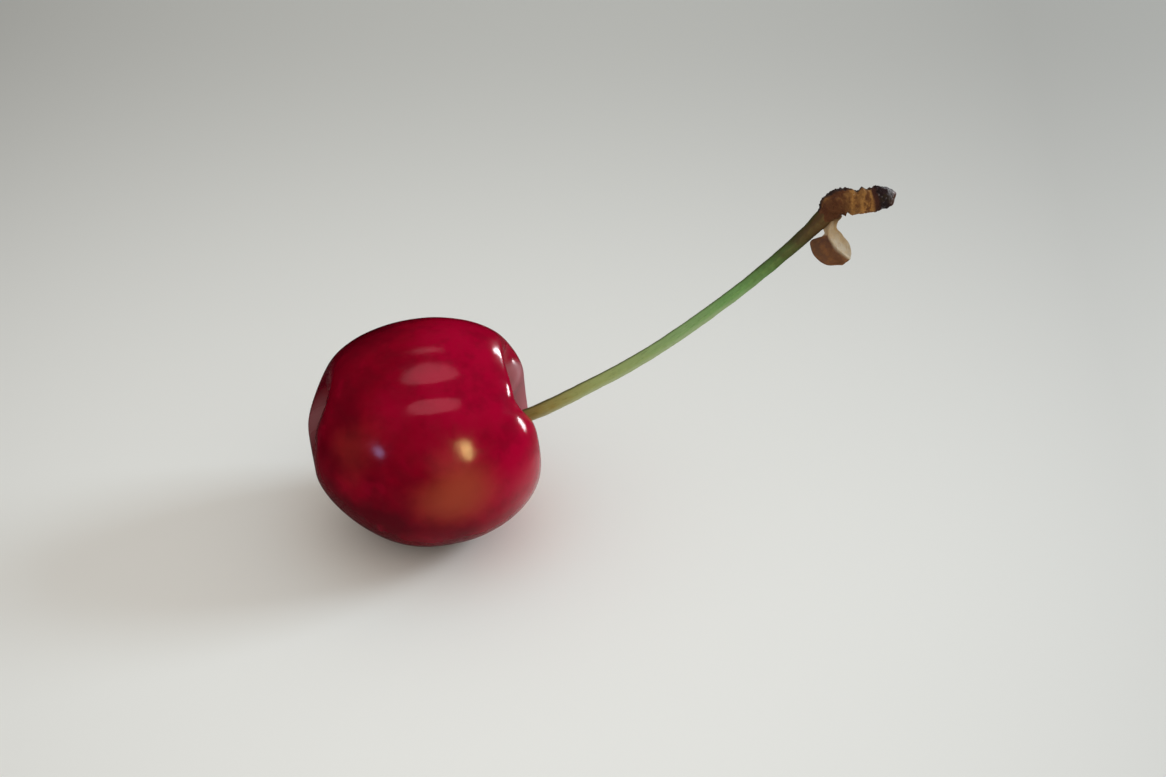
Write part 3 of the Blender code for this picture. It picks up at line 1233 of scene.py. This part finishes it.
@dataclass(frozen=True)
class DryBract:
    """The dried scale: a stalk that opens into two cupped blades folded along a keel."""

    keel: tuple[Place, ...] = (
        (43.25, 23.0, 0.25),
        (43.0, 22.3, 0.45),
        (42.85, 21.7, 0.65),
        (42.75, 21.2, 0.85),
        (42.8, 20.75, 1.05),
        (43.0, 20.2, 1.25),
        (43.4, 19.6, 1.40),
        (43.9, 19.1, 1.40),
        (44.45, 18.7, 1.25),
        (44.9, 18.4, 1.0),
    )
    front_edge: tuple[Place, ...] = (
        (42.35, 22.7, 0.0),
        (42.2, 22.1, 0.1),
        (42.3, 21.5, 0.3),
        (42.35, 21.05, 0.55),
        (41.7, 20.68, 0.8),
        (40.9, 20.3, 0.8),
        (41.0, 19.3, 0.5),
        (41.6, 18.4, 0.3),
        (42.75, 17.8, 0.3),
        (44.2, 17.85, 0.7),
    )
    back_edge: tuple[Place, ...] = (
        (44.2, 23.1, 0.0),
        (43.85, 22.4, 0.0),
        (43.7, 21.9, 0.0),
        (43.85, 21.55, -0.1),
        (44.25, 21.1, -0.2),
        (44.7, 20.5, -0.3),
        (45.05, 19.9, -0.3),
        (45.2, 19.3, -0.2),
        (45.15, 18.8, 0.2),
        (45.0, 18.4, 0.7),
    )
    thickness: float = 0.2
    cupping: float = 0.18
    creases: tuple[Ripple, Ripple, Ripple] = (
        Ripple(0.10, 0.9, 1.0),
        Ripple(0.10, 0.9, 2.0),
        Ripple(0.10, 0.8, 3.0),
    )
    shaded_from: float = 0.36  # the front blade's inside, painted dark as shade, shows below this share of the length
    shaded_over: float = 0.06
    shaded_edge: float = 0.8  # it grows by this much from each column to the next
    rows: int = 90
    columns: int = 22
    finish: ScaleFinish = ScaleFinish()

    def blade(self, side: Side, share: np.ndarray) -> np.ndarray:
        """One blade of the bract, cupped towards the slope.

        Args:
            side: Which blade.
            share: How far from the keel to the edge each column is, as a row.

        Returns:
            Places by row and by column.
        """
        edge = self.front_edge if side is Side.FRONT else self.back_edge
        keel = smooth_path(self.keel, self.rows)[:, None]
        edge_line = smooth_path(edge, self.rows)[:, None]
        flat = blend(keel, edge_line, share[..., None])
        width = np.linalg.norm(edge_line - keel, axis=-1)
        flat[..., 2] -= self.cupping * width * np.sin(math.pi * share)
        return flat

    def build(self, slope: Slope) -> bpy.types.Object:
        """Makes the bract.

        Args:
            slope: The slanted plane that it grows on.

        Returns:
            The bract.
        """
        share = np.linspace(0, 1, self.columns)[None, :]
        front = self.blade(Side.FRONT, share)
        back = self.blade(Side.BACK, share)
        sheet = np.concatenate([front[:, :0:-1], back], axis=1)
        sheet = sheet + np.stack([ripple.over(sheet) for ripple in self.creases], -1)
        rows, columns = sheet.shape[:2]
        index = np.arange(rows * columns).reshape(rows, columns)
        quads = np.stack([index[:-1, :-1], index[:-1, 1:], index[1:, 1:], index[1:, :-1]], -1)
        places = slope.place(sheet).reshape(-1, 3)
        mesh = bpy.data.meshes.new("dry_bract")
        mesh.from_pydata(places.tolist(), [], quads.reshape(-1, 4).tolist())
        down = np.arange(rows)[:, None]
        # painted shade on the front blade, below its stalk
        inner = np.clip((self.columns - 1 - np.arange(columns)) * self.shaded_edge, 0, 1)
        inner = inner * np.clip((down / rows - self.shaded_from) / self.shaded_over, 0, 1)
        store(mesh, "inner", inner)
        store(mesh, "down", np.broadcast_to(down / (rows - 1), (rows, columns)))
        made = Piece("dry_bract", Slot.SCALE, mesh, self.finish.make()).fit()
        wall = made.modifiers.new("wall", "SOLIDIFY")
        wall.thickness = self.thickness * MM
        wall.offset = 0
        return made


@dataclass(frozen=True)
class Lamp:
    """A soft lamp that faces the cherry, either to light it or to glint in its skin.

    Its azimuth and height are in degrees, and its power is in watts.
    """

    name: str
    task: Task
    azimuth: float
    height: float
    distance: float
    size: tuple[float, float]
    power: float
    tint: Colour = (1.0, 1.0, 1.0)
    outline: Outline = Outline.OBLONG
    spread: float = 180.0

    def facing(self) -> Matrix:
        """How the lamp is turned.

        Returns:
            Its axes: the first is level, and the last points away from the cherry.
        """
        turn, rise = math.radians(self.azimuth), math.radians(self.height)
        away = Vector((
            math.cos(rise) * math.cos(turn), math.cos(rise) * math.sin(turn), math.sin(rise)
        ))
        hint = Vector((0, 1, 0)) if self.height > STEEP else Vector((0, 0, 1))
        level = hint.cross(away).normalized()
        return Matrix((level, away.cross(level), away)).transposed()

    def hang(self, target: Vector) -> None:
        """Adds the light.

        Args:
            target: What it faces.
        """
        data = bpy.data.lights.new(self.name, "AREA")
        data.shape = self.outline.value
        data.size, data.size_y = (side * MM for side in self.size)
        data.energy = self.power
        data.color = self.tint
        data.spread = math.radians(self.spread)
        made = bpy.data.objects.new(self.name, data)
        facing = self.facing()
        stand = Matrix.Translation(target + facing.col[2] * (self.distance * MM))
        made.matrix_world = stand @ facing.to_4x4()
        made.visible_diffuse = self.task is Task.LIGHT
        made.visible_glossy = self.task is Task.GLINT
        made.visible_camera = False
        bpy.context.scene.collection.objects.link(made)


@dataclass(frozen=True)
class Table:
    """The pale table: a star under the cherry, whose reflection fades out, and the rest.

    Only the star shows in the fruit's skin. Its points taper off, so that the table's
    reflection has no edge.
    """

    finish: TableFinish = TableFinish()
    gap: float = 0.02  # under the fruit
    star: tuple[float, float] = (8.0, 80.0)  # how far its points start and end from its middle
    star_at: Place = (22.0, 0.0, 0.0)
    reach: float = 2000.0
    corners: int = 512

    def lay(self, name: str, places: np.ndarray, faces: list[list[int]]) -> bpy.types.Object:
        """Adds one part of the table.

        Args:
            name: The part's name.
            places: Its corners.
            faces: Its faces, as rows of corners.

        Returns:
            The part's object.
        """
        mesh = bpy.data.meshes.new(name)
        mesh.from_pydata(places.tolist(), [], faces)
        made = bpy.data.objects.new(name, mesh)
        bpy.context.scene.collection.objects.link(made)
        return made

    def build(self) -> None:
        """Lays the table just under the fruit."""
        ground = np.array((0, 0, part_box("fruit")[0].z - self.gap * MM))
        turns = np.linspace(0, 2 * math.pi, self.corners, endpoint=False)
        ring = np.stack([np.cos(turns), np.sin(turns), np.zeros_like(turns)], -1)
        first = np.arange(self.corners)
        after = np.roll(first, -1)
        points = np.where(first % 2, *self.star)[:, None]
        inner = (ring * points + self.star_at) * MM + ground
        outer = ring * self.reach * MM + ground
        rim = np.stack([first, first + self.corners, after + self.corners, after], -1)
        near = self.lay("near_table", inner, [first.tolist()])
        far = self.lay("far_table", np.vstack([inner, outer]), rim.tolist())
        far.visible_glossy = False
        material = self.finish.make()
        for part in (near, far):
            part.data.materials.append(material)


@dataclass(frozen=True)
class Studio:
    """The table, the light and the camera."""

    table: Table = Table()
    lens: float = 85.0
    sensor: float = 36.0
    distance: float = 290.7
    aim: tuple[float, float] = (16.7, 4.7)
    sight: tuple[float, float] = (0.01, 50.0)  # metres, from the nearest to the farthest
    sky: float = 0.66
    sky_tint: Colour = (1.0, 0.967, 0.919)
    lamps: tuple[Lamp, ...] = (
        Lamp("window light", Task.LIGHT, 16, 25, 700, (230, 200), 2.4, (0.75, 0.89, 1.0)),
        Lamp("window", Task.GLINT, 20, 1, 700, (110, 140), 2.6, (0.95, 0.97, 1.0)),
        Lamp("window pane", Task.GLINT, 55, 9, 700, (45, 280), 2.0, (0.95, 0.97, 1.0)),
        Lamp("overhead card", Task.GLINT, -68, 87, 600, (370, 380), 1.2, (1, 0.5, 0.55), Outline.OVAL),
        Lamp("far card", Task.GLINT, 94, 60, 600, (180, 80), 0.11, (1, 0.5, 0.55), Outline.OVAL),
        Lamp("warm card", Task.GLINT, -72, 10, 500, (330, 300), 0.035, (1, 0.42, 0.20), spread=40),
        Lamp("gold spark", Task.GLINT, -59, 19.5, 500, (54, 165), 0.95, (1, 0.76, 0.28), Outline.OVAL),
        Lamp("blue spark", Task.GLINT, -132, 14.6, 500, (75, 75), 0.20, (0.45, 0.5, 1), Outline.OVAL),
    )

    def surround(self) -> None:
        """Fills the room with even light, which the skin doesn't mirror."""
        world = bpy.data.worlds.new("room")
        world.use_nodes = True
        backdrop = world.node_tree.nodes["Background"]
        backdrop.inputs["Color"].default_value = (*self.sky_tint, 1)
        backdrop.inputs["Strength"].default_value = self.sky
        bpy.context.scene.world = world
        world.cycles_visibility.glossy = False

    def camera(self, slope: Slope) -> None:
        """Adds the camera, which looks square on to the slanted plane.

        Args:
            slope: The plane.
        """
        data = bpy.data.cameras.new("camera")
        data.lens = self.lens
        data.sensor_width = self.sensor
        data.clip_start, data.clip_end = self.sight
        made = bpy.data.objects.new("camera", data)
        aim = Vector(slope.place(np.array([[*self.aim, 0.0]]))[0])
        made.location = aim + slope.towards * (self.distance * MM)
        made.rotation_euler = (-slope.towards).to_track_quat("-Z", "Y").to_euler()
        bpy.context.scene.collection.objects.link(made)
        bpy.context.scene.camera = made

    def build(self, slope: Slope) -> None:
        """Sets up the room around the cherry.

        Args:
            slope: The slanted plane that the camera faces.
        """
        self.table.build()
        self.surround()
        for lamp in self.lamps:
            lamp.hang(slope.middle)
        self.camera(slope)
        bpy.context.scene.view_settings.view_transform = "Standard"


def main() -> None:
    """Builds the cherry from the fruit outwards, then the room around it."""
    logging.basicConfig(level=logging.INFO, format="%(name)s %(message)s")
    fruit, slope = Fruit().build()
    grown = [plan.build(slope) for plan in (Stalk(), SpurStub(), DryBract())]
    for piece in (fruit, *grown):
        LOG.info("%s: %d faces", piece.name, len(piece.data.polygons))
    Studio().build(slope)
    bpy.context.view_layer.update()


if __name__ == "__main__":
    main()
